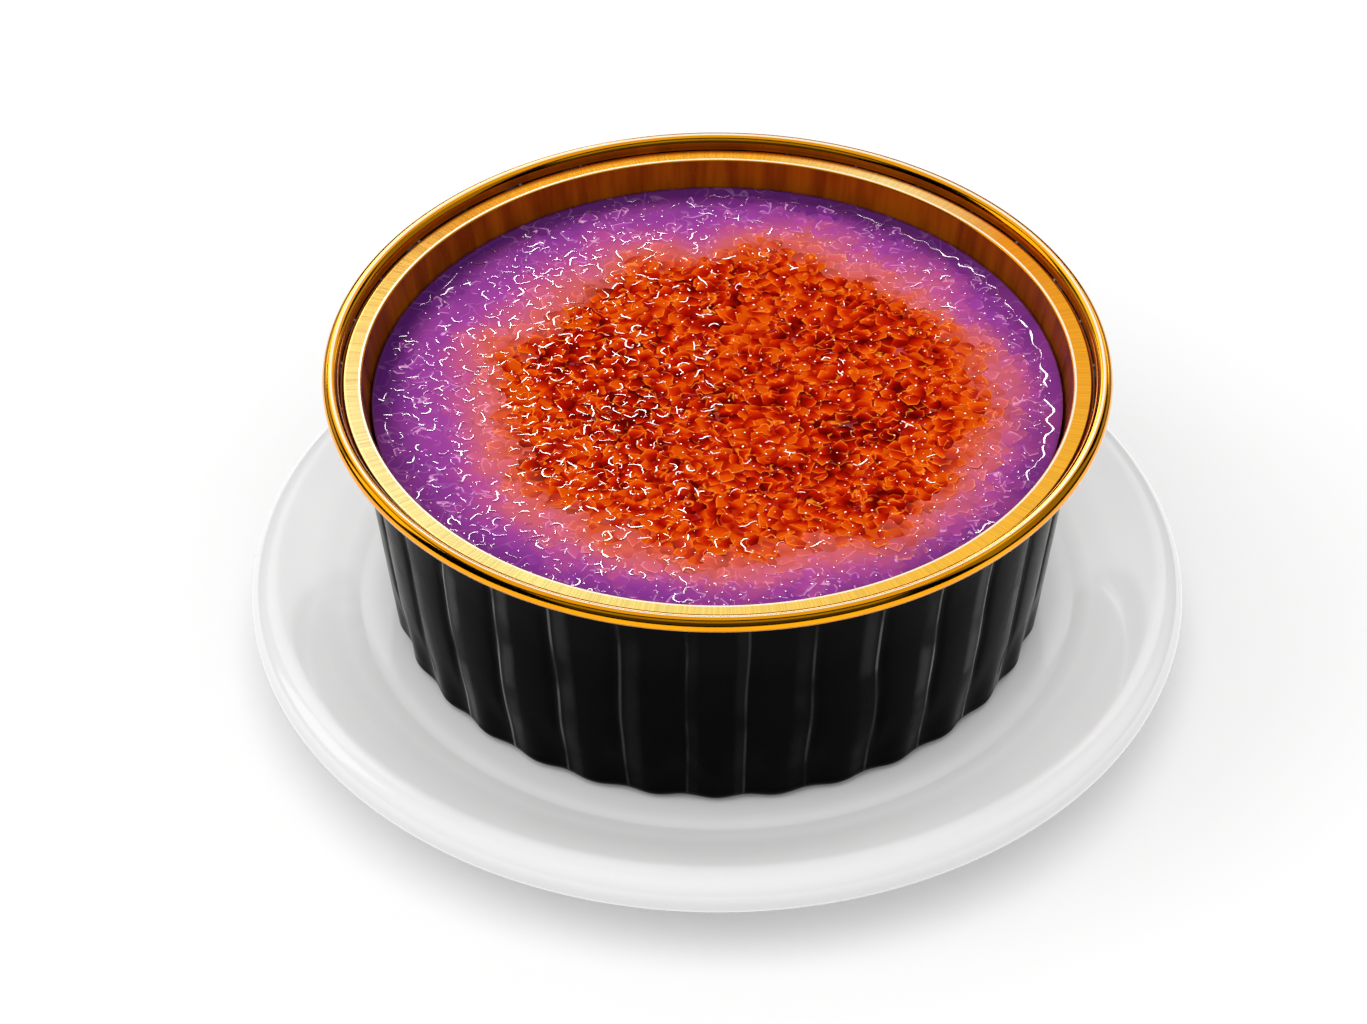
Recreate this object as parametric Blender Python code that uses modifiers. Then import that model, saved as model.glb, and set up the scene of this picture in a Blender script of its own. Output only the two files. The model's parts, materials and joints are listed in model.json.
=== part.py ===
"""A creme brulee in a fluted foil cup with a rolled rim, set on its small round saucer.

Origin: the middle of the saucer's foot, on the table. +Z is up and -Y is the front.
"""

from math import atan2, cos, hypot, pi, radians, sin, tau

import bpy

# Driving dimensions, in metres
joint_gap = 0.0003  # clearance between pieces that rest on each other

saucer_radius = 0.0611
saucer_well_height = 0.0078  # the flat well above the table
saucer_well_radius = 0.0465  # the slope up to the edge starts here
saucer_rim_radius = 0.0031  # the thick rounded edge, in section
saucer_rim_height = 0.0090  # the middle of that rounded edge above the table
saucer_floor_thickness = 0.0042
saucer_foot_radius = 0.0370
saucer_foot_width = 0.0034
saucer_segments = 66
saucer_slope_steps = 6
saucer_slope_softness = 0.35  # 0 for a straight cone, 1 for an S curve

cup_height = 0.0360  # from the base to the middle of the rolled rim
cup_base_radius = 0.0424
cup_top_radius = 0.0462
cup_base_corner = 0.0017
cup_floor_thickness = 0.0010
rim_radius = 0.0500  # the outer edge of the whole cup
rim_roll_radius = 0.00105
ledge_outer_radius = 0.0473
ledge_inner_radius = 0.0450
ledge_drop = 0.00046  # from the middle of the rolled rim down to the ledge
ledge_round = 0.00035  # rounding where the ledge turns down into the cup
wall_under_rim = 0.0020  # the outer wall starts this far below the middle of the roll

flute_count = 33
flute_steps = 4  # mesh points round each flute
flute_depth = 0.00060
flute_start = 0.0028  # the flutes fade in this far below the ledge
flute_full = 0.0095
flute_soft_from = 0.0260  # from here down a sharp groove turns into a soft wave
flute_soft_to = 0.0320

custard_drop = 0.0044  # from the middle of the rolled rim down to the custard
custard_radius = 0.0438  # at its surface
custard_base_radius = 0.0409
custard_segments = 66
crust_radius = 0.0335
crust_rise = 0.00045
crust_lump = 0.00025

# Heights above the table
cup_base_height = saucer_well_height + joint_gap
rim_height = cup_base_height + cup_height
ledge_height = rim_height - ledge_drop
custard_height = rim_height - custard_drop


def ease(low, high, value):
    """0 below low, 1 above high, and a smooth change between them."""
    share = min(max((value - low) / (high - low), 0.0), 1.0)
    return share * share * (3.0 - 2.0 * share)


def arc(centre, radius, start, end, count):
    """Points on a round of a profile, as (distance from the axis, height). Angles are in degrees."""
    turns = [radians(start + (end - start) * step / (count - 1)) for step in range(count)]
    return [(centre[0] + radius * cos(turn), centre[1] + radius * sin(turn)) for turn in turns]


def make_material(name, colour, roughness, metallic=0.0):
    material = bpy.data.materials.new(name)
    material.use_nodes = True
    shader = material.node_tree.nodes["Principled BSDF"]
    shader.inputs["Base Color"].default_value = (*colour, 1.0)
    shader.inputs["Roughness"].default_value = roughness
    shader.inputs["Metallic"].default_value = metallic
    return material


def turn_profile(name, profile, segments, collection):
    """Turns a profile round the Z axis with a Screw modifier, and returns the plain mesh object."""
    outline_mesh = bpy.data.meshes.new(name + "_outline")
    edges = [(index, index + 1) for index in range(len(profile) - 1)]
    outline_mesh.from_pydata([(radius, 0.0, height) for radius, height in profile], edges, [])
    outline = bpy.data.objects.new(name + "_outline", outline_mesh)
    bpy.context.scene.collection.objects.link(outline)

    screw = outline.modifiers.new("turn", "SCREW")
    screw.axis = "Z"
    screw.angle = tau
    screw.steps = segments
    screw.render_steps = segments
    screw.use_merge_vertices = True
    screw.merge_threshold = 0.00001

    depsgraph = bpy.context.evaluated_depsgraph_get()
    mesh = bpy.data.meshes.new_from_object(outline.evaluated_get(depsgraph))
    bpy.data.objects.remove(outline)
    bpy.data.meshes.remove(outline_mesh)
    mesh.name = name
    piece = bpy.data.objects.new(name, mesh)
    collection.objects.link(piece)
    return piece


def finish_piece(piece, material, crease_angle):
    piece.data.materials.clear()
    piece.data.materials.append(material)
    piece.data.shade_smooth()
    piece.data.set_sharp_from_angle(angle=radians(crease_angle))


def make_saucer(collection):
    """A small porcelain saucer: flat well, a soft slope up to a thick rounded edge, and a foot ring."""
    edge_middle = (saucer_radius - saucer_rim_radius, saucer_rim_height)
    underside = saucer_well_height - saucer_floor_thickness
    foot_outer = saucer_foot_radius + saucer_foot_width / 2.0
    foot_inner = saucer_foot_radius - saucer_foot_width / 2.0
    foot_edge = 0.0006
    edge = arc(edge_middle, saucer_rim_radius, 98.0, -80.0, 7)
    profile = [(0.0, saucer_well_height)]
    for step in range(saucer_slope_steps):
        share = step / saucer_slope_steps
        rise = share + (ease(0.0, 1.0, share) - share) * saucer_slope_softness
        radius = saucer_well_radius + (edge[0][0] - saucer_well_radius) * share
        profile.append((radius, saucer_well_height + (edge[0][1] - saucer_well_height) * rise))
    profile += edge
    profile += [
        (foot_outer, underside - 0.0004),
        (foot_outer - foot_edge, 0.0),
        (foot_inner + foot_edge, 0.0),
        (foot_inner, underside),
        (0.0, underside),
    ]
    saucer = turn_profile("saucer", profile, saucer_segments, collection)
    finish_piece(saucer, make_material("porcelain", (0.80, 0.80, 0.79), 0.18), 40.0)
    return saucer


def wall_radius(height):
    """The outer face of the cup's wall before its flutes are pressed."""
    share = (height - cup_base_height) / (rim_height - wall_under_rim - cup_base_height)
    return cup_base_radius + (cup_top_radius - cup_base_radius) * share


def flute_inset(azimuth, height):
    """How far the wall is pressed in at one place: sharp grooves between panels, a soft wave near the base."""
    below_ledge = ledge_height - height
    place = azimuth / tau * flute_count % 1.0  # 0 in the middle of a panel, 0.5 in a groove
    from_middle = 2.0 * min(place, 1.0 - place)
    sharp = from_middle**2
    soft = 0.5 - 0.5 * cos(pi * from_middle)
    shape = sharp + (soft - sharp) * ease(flute_soft_from, flute_soft_to, below_ledge)
    return flute_depth * ease(flute_start, flute_full, below_ledge) * shape


def make_foil_cup(collection):
    """A pressed foil cup: round corner at the base, fluted wall, flat ledge and a rolled rim."""
    roll_middle = (rim_radius - rim_roll_radius, rim_height)
    corner_middle = (cup_base_radius - cup_base_corner, cup_base_height + cup_base_corner)
    ledge_corner = (ledge_inner_radius + ledge_round, ledge_height - ledge_round)
    floor_height = cup_base_height + cup_floor_thickness
    floor_radius = custard_base_radius + joint_gap
    wall_levels = [rim_height - wall_under_rim]
    wall_levels += [ledge_height - below for below in (flute_start, 0.0062, flute_full, 0.0180, flute_soft_from)]

    profile = [(0.0, floor_height), (floor_radius, floor_height)]
    profile += [(custard_radius + joint_gap, custard_height)]
    profile += arc(ledge_corner, ledge_round, 180.0, 90.0, 3)
    profile += [(ledge_outer_radius, ledge_height)]
    profile += arc(roll_middle, rim_roll_radius, 165.0, -135.0, 8)
    profile += [(wall_radius(level), level) for level in wall_levels]
    profile += arc(corner_middle, cup_base_corner, 6.0, -90.0, 4)
    profile += [(0.0, cup_base_height)]
    cup = turn_profile("foil_cup", profile, flute_count * flute_steps, collection)

    outer_band = 0.0009  # the outer face lies within this of the plain wall
    for vertex in cup.data.vertices:
        radius = hypot(vertex.co.x, vertex.co.y)
        if cup_base_height < vertex.co.z < ledge_height and abs(radius - wall_radius(vertex.co.z)) < outer_band:
            scale = 1.0 - flute_inset(atan2(vertex.co.x, -vertex.co.y), vertex.co.z) / radius
            vertex.co.x *= scale
            vertex.co.y *= scale
    finish_piece(cup, make_material("lacquered_foil", (0.015, 0.014, 0.014), 0.35, 0.4), 30.0)
    return cup


def crust_height(x, y):
    """The burnt sugar crust: a slightly raised, uneven plate with a wavy edge, in the middle of the custard."""
    azimuth = atan2(y, x)
    edge = crust_radius * (1.0 + 0.05 * sin(3.0 * azimuth + 0.6) + 0.035 * sin(5.0 * azimuth + 2.0))
    share = 1.0 - ease(edge - 0.003, edge + 0.003, hypot(x, y))
    waves = sin(x * 330.0 + 0.4) * sin(y * 290.0 + 1.1) + 0.6 * sin((x + y) * 410.0)
    return share * (crust_rise + crust_lump * waves)


def make_custard(collection):
    """The custard fills the cup up to its surface, with the crust as an uneven raised plate on top."""
    base_height = cup_base_height + cup_floor_thickness + joint_gap
    rings = [0.0, 0.009, 0.017, 0.024, 0.0295, 0.0340, 0.0385]
    profile = [(radius, custard_height) for radius in rings]
    profile += [(custard_radius, custard_height), (custard_base_radius, base_height), (0.0, base_height)]
    custard = turn_profile("custard", profile, custard_segments, collection)
    for vertex in custard.data.vertices:
        if vertex.co.z > custard_height - joint_gap:
            vertex.co.z += crust_height(vertex.co.x, vertex.co.y)
    finish_piece(custard, make_material("custard", (0.36, 0.07, 0.30), 0.25), 35.0)
    return custard


def main():
    for old in list(bpy.data.objects):
        bpy.data.objects.remove(old)
    collection = bpy.data.collections.new("creme_brulee")
    bpy.context.scene.collection.children.link(collection)
    make_saucer(collection)
    make_foil_cup(collection)
    make_custard(collection)


main()
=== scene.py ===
import json
import math

import bpy
import numpy as np
from mathutils import Matrix, Vector

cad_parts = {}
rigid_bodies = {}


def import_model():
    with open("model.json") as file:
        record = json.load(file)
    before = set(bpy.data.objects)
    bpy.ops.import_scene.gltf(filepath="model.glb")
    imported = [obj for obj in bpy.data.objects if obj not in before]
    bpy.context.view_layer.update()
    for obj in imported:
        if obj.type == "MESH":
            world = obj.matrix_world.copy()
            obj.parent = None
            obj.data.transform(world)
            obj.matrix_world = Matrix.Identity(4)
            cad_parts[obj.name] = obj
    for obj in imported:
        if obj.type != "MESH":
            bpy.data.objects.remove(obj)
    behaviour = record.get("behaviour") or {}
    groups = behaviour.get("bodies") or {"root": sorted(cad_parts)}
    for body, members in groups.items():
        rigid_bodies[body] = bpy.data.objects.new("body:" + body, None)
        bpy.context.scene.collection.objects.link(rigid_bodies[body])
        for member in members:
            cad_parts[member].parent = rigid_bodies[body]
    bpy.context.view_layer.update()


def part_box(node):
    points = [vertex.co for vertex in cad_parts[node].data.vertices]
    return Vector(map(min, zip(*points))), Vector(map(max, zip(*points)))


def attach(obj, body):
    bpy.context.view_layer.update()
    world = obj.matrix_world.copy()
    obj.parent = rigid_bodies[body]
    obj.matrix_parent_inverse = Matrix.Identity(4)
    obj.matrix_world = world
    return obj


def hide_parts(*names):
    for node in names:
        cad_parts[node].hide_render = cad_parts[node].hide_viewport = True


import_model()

# places that every piece is worked out from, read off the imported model
_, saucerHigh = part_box("saucer")
cupLow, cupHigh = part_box("foil_cup")
custardLow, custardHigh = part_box("custard")
millimetre = 0.001
print("frame loaded")


# links a socket, or sets a plain value
def feed(tree, socket, value):
    if isinstance(value, bpy.types.NodeSocket):
        tree.links.new(value, socket)
    else:
        socket.default_value = value


def feedAll(tree, node, inputs):
    for name, value in inputs.items():
        feed(tree, node.inputs[name], value)


def addNode(tree, kind, inputs=None, **settings):
    node = tree.nodes.new(kind)
    for name, value in settings.items():
        setattr(node, name, value)
    feedAll(tree, node, inputs or {})
    return node


def calc(tree, operation, *values):
    return addNode(tree, "ShaderNodeMath", dict(enumerate(values)), operation=operation).outputs[0]


def plus(tree, first, second):
    return calc(tree, "ADD", first, second)


def minus(tree, first, second):
    return calc(tree, "SUBTRACT", first, second)


def times(tree, first, *others):
    for other in others:
        first = calc(tree, "MULTIPLY", first, other)
    return first


def timesPlus(tree, value, factor, start):
    return calc(tree, "MULTIPLY_ADD", value, factor, start)


def vectorCalc(tree, operation, *values):
    keys = (0, "Scale") if operation == "SCALE" else range(len(values))
    node = addNode(tree, "ShaderNodeVectorMath", dict(zip(keys, values)), operation=operation)
    return node.outputs["Value"] if operation in ("LENGTH", "DISTANCE") else node.outputs[0]


def remap(tree, value, fromLow, fromHigh, toLow=0.0, toHigh=1.0, smooth=True):
    inputs = {"Value": value, "From Min": fromLow, "From Max": fromHigh, "To Min": toLow, "To Max": toHigh}
    kind = "SMOOTHSTEP" if smooth else "LINEAR"
    return addNode(tree, "ShaderNodeMapRange", inputs, interpolation_type=kind).outputs[0]


# output 0 is a value around 0.5, output 1 is three of them as a vector
def noise(tree, place, scale, detail=2.0, roughness=0.5, output=0, dimensions="3D"):
    inputs = {"Vector": place, "Scale": scale, "Detail": detail, "Roughness": roughness}
    return addNode(tree, "ShaderNodeTexNoise", inputs, noise_dimensions=dimensions).outputs[output]


def flatNoise(tree, level, scale, detail=2.0, roughness=0.5, output=0):
    return noise(tree, level, scale, detail, roughness, output, "2D")


def mixColours(tree, share, first, second):
    pair = [entry if isinstance(entry, bpy.types.NodeSocket) else (*entry, 1.0) for entry in (first, second)]
    return addNode(tree, "ShaderNodeMix", {0: share, 6: pair[0], 7: pair[1]}, data_type="RGBA").outputs[2]


def colourRamp(tree, value, stops):
    node = addNode(tree, "ShaderNodeValToRGB", {0: value})
    ramp = node.color_ramp
    while len(ramp.elements) < len(stops):
        ramp.elements.new(0.5)
    for element, (position, colour) in zip(ramp.elements, stops):
        element.position = position
        element.color = (*colour, 1.0)
    return node.outputs[0]


def newMaterial(name):
    material = bpy.data.materials.new(name)
    material.use_nodes = True
    tree = material.node_tree
    return material, tree, tree.nodes["Principled BSDF"]


def objectPlace(tree):
    return addNode(tree, "ShaderNodeTexCoord").outputs["Object"]


def splitPlace(tree, place):
    return tuple(addNode(tree, "ShaderNodeSeparateXYZ", {0: place}).outputs)


def joinPlace(tree, x, y, z):
    return addNode(tree, "ShaderNodeCombineXYZ", {0: x, 1: y, 2: z}).outputs[0]


# a place with its height taken out
def flatPlace(tree, place):
    x, y, _ = splitPlace(tree, place)
    return joinPlace(tree, x, y, 0.0)


def pointValue(tree, name, output="Fac"):
    return addNode(tree, "ShaderNodeAttribute", attribute_name=name).outputs[output]


def ownNormal(tree):
    return addNode(tree, "ShaderNodeNewGeometry").outputs["Normal"]


# a normal turned towards straight up
def liftedNormal(tree, normal, lift):
    return vectorCalc(tree, "NORMALIZE", vectorCalc(tree, "ADD", normal, (0.0, 0.0, lift)))


def bump(tree, height, strength, distance, normal=None):
    inputs = {"Strength": strength, "Distance": distance, "Height": height}
    if normal is not None:
        inputs["Normal"] = normal
    return addNode(tree, "ShaderNodeBump", inputs).outputs[0]


# points on a round of a profile, angles in degrees; stretch makes it taller
def arcPoints(centre, radius, start, end, count, stretch=1.0):
    turns = np.radians(np.linspace(start, end, count))
    return [(centre[0] + radius * math.cos(t), centre[1] + radius * stretch * math.sin(t)) for t in turns]


# points between two ends, the ends left out
def straightPoints(start, end, count):
    shares = np.linspace(0.0, 1.0, count + 2)[1:-1]
    return [(start[0] + (end[0] - start[0]) * s, start[1] + (end[1] - start[1]) * s) for s in shares]


def linkObject(name, data):
    piece = bpy.data.objects.new(name, data)
    bpy.context.scene.collection.objects.link(piece)
    return piece


# a profile in the XZ plane turned round Z, as an object whose Screw modifier is still live
def turnProfile(name, profile, steps):
    mesh = bpy.data.meshes.new(name)
    edges = [(i, i + 1) for i in range(len(profile) - 1)]
    mesh.from_pydata([(radius, 0.0, height) for radius, height in profile], edges, [])
    piece = linkObject(name, mesh)
    screw = piece.modifiers.new("turn", "SCREW")
    screw.axis = "Z"
    screw.steps = steps
    screw.render_steps = steps
    screw.use_merge_vertices = True
    screw.merge_threshold = 0.001 * millimetre
    return piece


# turns the result of all modifiers into the piece's own plain mesh
def bakeModifiers(piece):
    depsgraph = bpy.context.evaluated_depsgraph_get()
    mesh = bpy.data.meshes.new_from_object(piece.evaluated_get(depsgraph))
    old = piece.data
    piece.modifiers.clear()
    piece.data = mesh
    bpy.data.meshes.remove(old)
    piece.data.name = piece.name
    piece.data.shade_smooth()
    return piece


# drops the empty slots that a scatter leaves, so that every face has the one material
def keepOneMaterial(piece, material):
    piece.data.materials.clear()
    piece.data.materials.append(material)
    piece.data.polygons.foreach_set("material_index", [0] * len(piece.data.polygons))


# a Geometry Nodes tree with one geometry in and out and the named float inputs
def newGeometryTree(name, inputs):
    tree = bpy.data.node_groups.new(name, "GeometryNodeTree")
    tree.interface.new_socket("Geometry", in_out="INPUT", socket_type="NodeSocketGeometry")
    tree.interface.new_socket("Geometry", in_out="OUTPUT", socket_type="NodeSocketGeometry")
    for label, value in inputs.items():
        socket = tree.interface.new_socket(label, in_out="INPUT", socket_type="NodeSocketFloat")
        socket.default_value = value
    return tree, tree.nodes.new("NodeGroupInput").outputs


# ends a tree: instances made real, one material, and the way out
def closeTree(tree, geometry, material):
    solid = addNode(tree, "GeometryNodeRealizeInstances", {0: geometry})
    inputs = {"Geometry": solid.outputs[0], "Material": material}
    finish = addNode(tree, "GeometryNodeSetMaterial", inputs)
    addNode(tree, "NodeGroupOutput", {0: finish.outputs[0]})
    return tree


# runs a tree on a piece, its inputs set by their sockets' identifiers, and keeps the plain result
def runTree(piece, tree, sizes):
    modifier = piece.modifiers.new(tree.name, "NODES")
    modifier.node_group = tree
    for item in tree.interface.items_tree:
        if item.item_type == "SOCKET" and item.in_out == "INPUT" and item.name in sizes:
            modifier[item.identifier] = sizes[item.name]
    return bakeModifiers(piece)


def herePosition(tree):
    return addNode(tree, "GeometryNodeInputPosition").outputs[0]


def readValue(tree, name):
    return addNode(tree, "GeometryNodeInputNamedAttribute", {"Name": name}, data_type="FLOAT").outputs[0]


def storeValue(tree, geometry, name, value, kind="FLOAT"):
    inputs = {"Geometry": geometry, "Name": name, "Value": value}
    node = addNode(tree, "GeometryNodeStoreNamedAttribute", inputs, data_type=kind, domain="POINT")
    return node.outputs[0]


def isAbove(tree, value, limit):
    return addNode(tree, "FunctionNodeCompare", {0: value, 1: limit}, data_type="FLOAT",
                   operation="GREATER_THAN").outputs[0]


view = {
    "lens": 124.35,
    "distance": 0.46838,  # in front of the cup's axis
    "height": 0.37227,  # above the middle of the roll
    "rollBelowTop": 1.05 * millimetre,
    "pitch": 40.243,  # degrees down
    "yaw": -0.533,
    "roll": -0.234,
}


def addCamera():
    data = bpy.data.cameras.new("camera")
    data.lens = view["lens"]
    data.sensor_width = 36.0
    data.clip_start = 0.01
    camera = linkObject("camera", data)
    turn = Matrix.Rotation(math.radians(-view["yaw"]), 4, "Z")
    turn = turn @ Matrix.Rotation(math.radians(90.0 - view["pitch"]), 4, "X")
    turn = turn @ Matrix.Rotation(math.radians(view["roll"]), 4, "Z")
    height = cupHigh[2] - view["rollBelowTop"] + view["height"]
    camera.matrix_world = Matrix.Translation((0.0, -view["distance"], height)) @ turn
    bpy.context.scene.camera = camera


# every lamp: place, width and height, power in watts, diffuse or gloss, and the group of pieces it reaches
lamps = {
    "topSoftbox": ((-0.10, -0.05, 1.28), (1.80, 1.80), 7.3, "diffuse", None),
    "leftSoftbox": ((-1.10, -0.20, 0.85), (0.90, 0.70), 2.6, "diffuse", None),
    "frontSoftbox": ((0.10, -1.15, 0.80), (1.20, 0.90), 2.5, "diffuse", None),
    "saucerFill": ((-0.30, -0.80, 1.15), (0.90, 0.90), 4.6, "diffuse", "dish"),
    "dishFill": ((0.10, 0.20, 1.25), (0.80, 0.80), 4.4, "diffuse", "dish"),
    "backCard": ((-0.10, 0.80, 0.86), (1.50, 0.60), 2.8, "gloss", "ware"),
    "ledgeCard": ((-0.30, 0.80, 0.74), (0.30, 0.30), 0.30, "gloss", "cup"),
    "keyCard": ((-0.24, 0.97, 0.55), (0.38, 0.26), 1.3, "gloss", "cup"),
    "backStrip": ((0.0, 1.05, 0.50), (1.80, 0.10), 1.7, "gloss", "cup"),
    "leftCard": ((-0.95, 0.20, 0.50), (0.50, 0.60), 1.3, "gloss", "ware"),
    "rightCard": ((1.00, 0.10, 0.60), (1.00, 0.90), 0.9, "gloss", "ware"),
    "frontCard": ((0.10, -1.20, 0.50), (2.40, 0.80), 0.35, "gloss", "cup"),
    "frontHigh": ((0.0, -0.90, 1.05), (2.20, 0.60), 1.60, "gloss", "cup"),
    "tableCard": ((0.0, 0.0, 0.0006), (0.50, 0.50), 0.90, "gloss", "ware"),
    "leftLow": ((-0.95, 0.95, 0.27), (0.90, 0.50), 0.70, "gloss", "cup"),
    "rightLow": ((0.95, 0.95, 0.27), (0.90, 0.50), 0.55, "gloss", "cup"),
    "skyCard": ((0.0, 0.15, 1.40), (2.20, 1.10), 6.5, "gloss", "cup"),
    "syrupLamp": ((0.0, 0.468, 0.416), (0.40, 0.40), 12.5, "gloss", "syrup"),
    "flakeLamp": ((-0.20, 0.20, 0.20), (0.03, 0.03), 0.010, "gloss", "flakes"),
}
reachGroups = {
    "dish": ["glazedSaucer"],
    "ware": ["glazedSaucer", "foilCup"],
    "cup": ["foilCup"],
    "flakes": ["custardAndCrust", "sugarFlakes"],
    "syrup": ["syrupThreads", "syrupDrops", "syrupLine"],
}
lampAim = (0.0, 0.0, 0.03)


def addLamps():
    groups = {}
    for group, names in reachGroups.items():
        groups[group] = bpy.data.collections.new(group + "Reach")
        for name in names:
            groups[group].objects.link(bpy.data.objects[name])
    for name, (place, size, power, use, reach) in lamps.items():
        data = bpy.data.lights.new(name, "AREA")
        data.shape = "RECTANGLE"
        data.size, data.size_y = size
        data.energy = power
        lamp = linkObject(name, data)
        lamp.location = place
        lamp.rotation_euler = (Vector(lampAim) - Vector(place)).to_track_quat("-Z", "Y").to_euler()
        lamp.visible_camera = False
        lamp.visible_glossy = use == "gloss"
        lamp.visible_diffuse = use == "diffuse"
        if reach:
            lamp.light_linking.receiver_collection = groups[reach]


studio = {"world": 0.80, "floor": 0.90, "floorRoughness": 0.9, "floorHalf": 3.0}


def addWorld():
    world = bpy.data.worlds.new("studio")
    bpy.context.scene.world = world
    world.use_nodes = True
    grey = studio["world"]
    world.node_tree.nodes["Background"].inputs["Color"].default_value = (grey, grey, grey, 1.0)
    world.cycles_visibility.glossy = False
    bpy.context.scene.view_settings.view_transform = "Standard"


def addFloor():
    half, grey = studio["floorHalf"], studio["floor"]
    mesh = bpy.data.meshes.new("floor")
    corners = [(-half, -half, 0), (half, -half, 0), (half, half, 0), (-half, half, 0)]
    mesh.from_pydata(corners, [], [(0, 1, 2, 3)])
    floor = linkObject("floor", mesh)
    material, tree, shader = newMaterial("paleFloor")
    feedAll(tree, shader, {"Base Color": (grey, grey, grey, 1.0), "Roughness": studio["floorRoughness"],
                           "Specular IOR Level": 0.0})
    mesh.materials.append(material)
    floor.visible_glossy = False


addCamera()
addWorld()
addFloor()
print("camera, world and floor placed")


saucerSizes = {
    "clearance": 0.05 * millimetre,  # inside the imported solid
    "wellHeight": 7.8 * millimetre,
    "wellRings": (0.0, 20.0 * millimetre, 40.0 * millimetre, 45.5 * millimetre),
    "wellRadius": 46.5 * millimetre,  # the slope up to the edge starts here
    "slopeSteps": 24,
    "slopeSoftness": 0.35,  # 0 for a straight cone, 1 for an S curve
    "edgeRadius": 3.1 * millimetre,
    "floorThickness": 4.2 * millimetre,
    "footRadius": 37.0 * millimetre,
    "footWidth": 3.4 * millimetre,
    "footRound": 0.6 * millimetre,
    "steps": 256,
}
glaze = {
    "from": 40.0 * millimetre,  # painted light and shade run from here: palest under the cup's overhanging rim, where it keeps the light off, greyer in the well and at the brightly lit edge
    "to": 60.0 * millimetre,
    "paintedShading": [
        (0.00, (0.68, 0.678, 0.680)),
        (0.20, (0.73, 0.728, 0.730)),
        (0.46, (0.98, 0.978, 0.980)),
        (0.65, (0.90, 0.898, 0.900)),
        (0.82, (0.73, 0.728, 0.730)),
        (0.95, (0.62, 0.618, 0.620)),
    ],
    "cloudiness": 0.01,
    "roughness": (0.09, 0.13),
    "coat": 0.40,
    "coatRoughness": 0.04,
    "ripple": 0.04,
    "rippleHeight": 0.1 * millimetre,
}


def porcelainMaterial():
    g = glaze
    material, tree, shader = newMaterial("porcelain")
    place = objectPlace(tree)
    radius = vectorCalc(tree, "LENGTH", flatPlace(tree, place))
    share = remap(tree, radius, g["from"], g["to"], smooth=False)
    cloud = remap(tree, noise(tree, place, 60.0, 3.0), 0.35, 0.65, -g["cloudiness"], g["cloudiness"])
    wear = remap(tree, noise(tree, place, 90.0, 3.0), 0.3, 0.7, *g["roughness"])
    # painted light and shade by distance from the middle, with a faint random cloudiness
    feedAll(tree, shader, {
        "Base Color": colourRamp(tree, plus(tree, share, cloud), g["paintedShading"]),
        "Roughness": wear,
        "Coat Weight": g["coat"],
        "Coat Roughness": g["coatRoughness"],
        "Normal": bump(tree, noise(tree, place, 120.0), g["ripple"], g["rippleHeight"]),
    })
    return material


def makeSaucer():
    s = saucerSizes
    inset = s["clearance"] + s["edgeRadius"]
    edgeMiddle = (saucerHigh[1] - inset, saucerHigh[2] - inset)
    edge = arcPoints(edgeMiddle, s["edgeRadius"], 98.0, -78.0, 40)
    profile = [(radius, s["wellHeight"]) for radius in s["wellRings"]]
    # a soft slope leads from the well up to the thick edge
    for i in range(s["slopeSteps"]):
        share = i / s["slopeSteps"]
        rise = share + (share**2 * (3.0 - 2.0 * share) - share) * s["slopeSoftness"]
        radius = s["wellRadius"] + (edge[0][0] - s["wellRadius"]) * share
        profile.append((radius, s["wellHeight"] + (edge[0][1] - s["wellHeight"]) * rise))
    profile += edge

    underside = s["wellHeight"] - s["floorThickness"]
    footOuter = s["footRadius"] + s["footWidth"] / 2
    footInner = s["footRadius"] - s["footWidth"] / 2
    footRound = s["footRound"]
    footTop = (footOuter, underside - 0.2 * millimetre)
    profile += straightPoints(profile[-1], footTop, 6)
    profile += [footTop, (footOuter - 0.5 * footRound, 1.5 * footRound)]
    profile += arcPoints((footOuter - 1.5 * footRound, footRound), footRound, 0.0, -90.0, 6)
    profile += arcPoints((footInner + 1.5 * footRound, footRound), footRound, -90.0, -180.0, 6)
    profile += [(footInner, underside), (s["wellRings"][1], underside), (0.0, underside)]
    saucer = bakeModifiers(turnProfile("glazedSaucer", profile, s["steps"]))
    saucer.data.materials.append(porcelainMaterial())
    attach(saucer, "root")
    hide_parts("saucer")


makeSaucer()
print("saucer made")


cupSizes = {
    "clearance": 0.03 * millimetre,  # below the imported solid's top
    "floorThickness": 1.0 * millimetre,
    "floorRadius": 40.5 * millimetre,
    "baseRadius": 42.4 * millimetre,
    "topRadius": 46.2 * millimetre,
    "baseCorner": 1.7 * millimetre,
    "rollRadius": 1.05 * millimetre,
    "rollStretch": 1.07,
    "rollFrom": 195.0,  # degrees round the roll, like shoulderAt
    "rollTo": -150.0,
    "rollSteps": 70,
    "shoulderAt": 97.0,  # degrees round the roll, from its outer side over the top
    "shoulderHalf": 16.0,
    "shoulderFlatness": 0.7,
    "ledgeOuter": 47.42 * millimetre,
    "ledgeInner": 45.0 * millimetre,
    "ledgeDrop": 0.42 * millimetre,
    "ledgeRound": 0.22 * millimetre,
    "lipRound": 0.24 * millimetre,
    "grooveDepth": 0.25 * millimetre,
    "wallUnderRim": 2.0 * millimetre,
    "custardEdge": 43.95 * millimetre,
    "stepsPerFlute": 18,
}
fluteSizes = {
    "Flutes": 33.0,
    "Depth": 0.62 * millimetre,
    "Crown": 0.42,  # share of the depth in the round of a panel
    "Crease": 0.58,  # share of the depth in the groove
    "Start": 1.6 * millimetre,  # below the ledge
    "Full": 7.0 * millimetre,
    "Soft From": 25.0 * millimetre,
    "Soft To": 31.5 * millimetre,
    "Unevenness": 0.21,  # in flutes
    "Dents": 0.10 * millimetre,
    "Ledge Height": 0.0,
}


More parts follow.
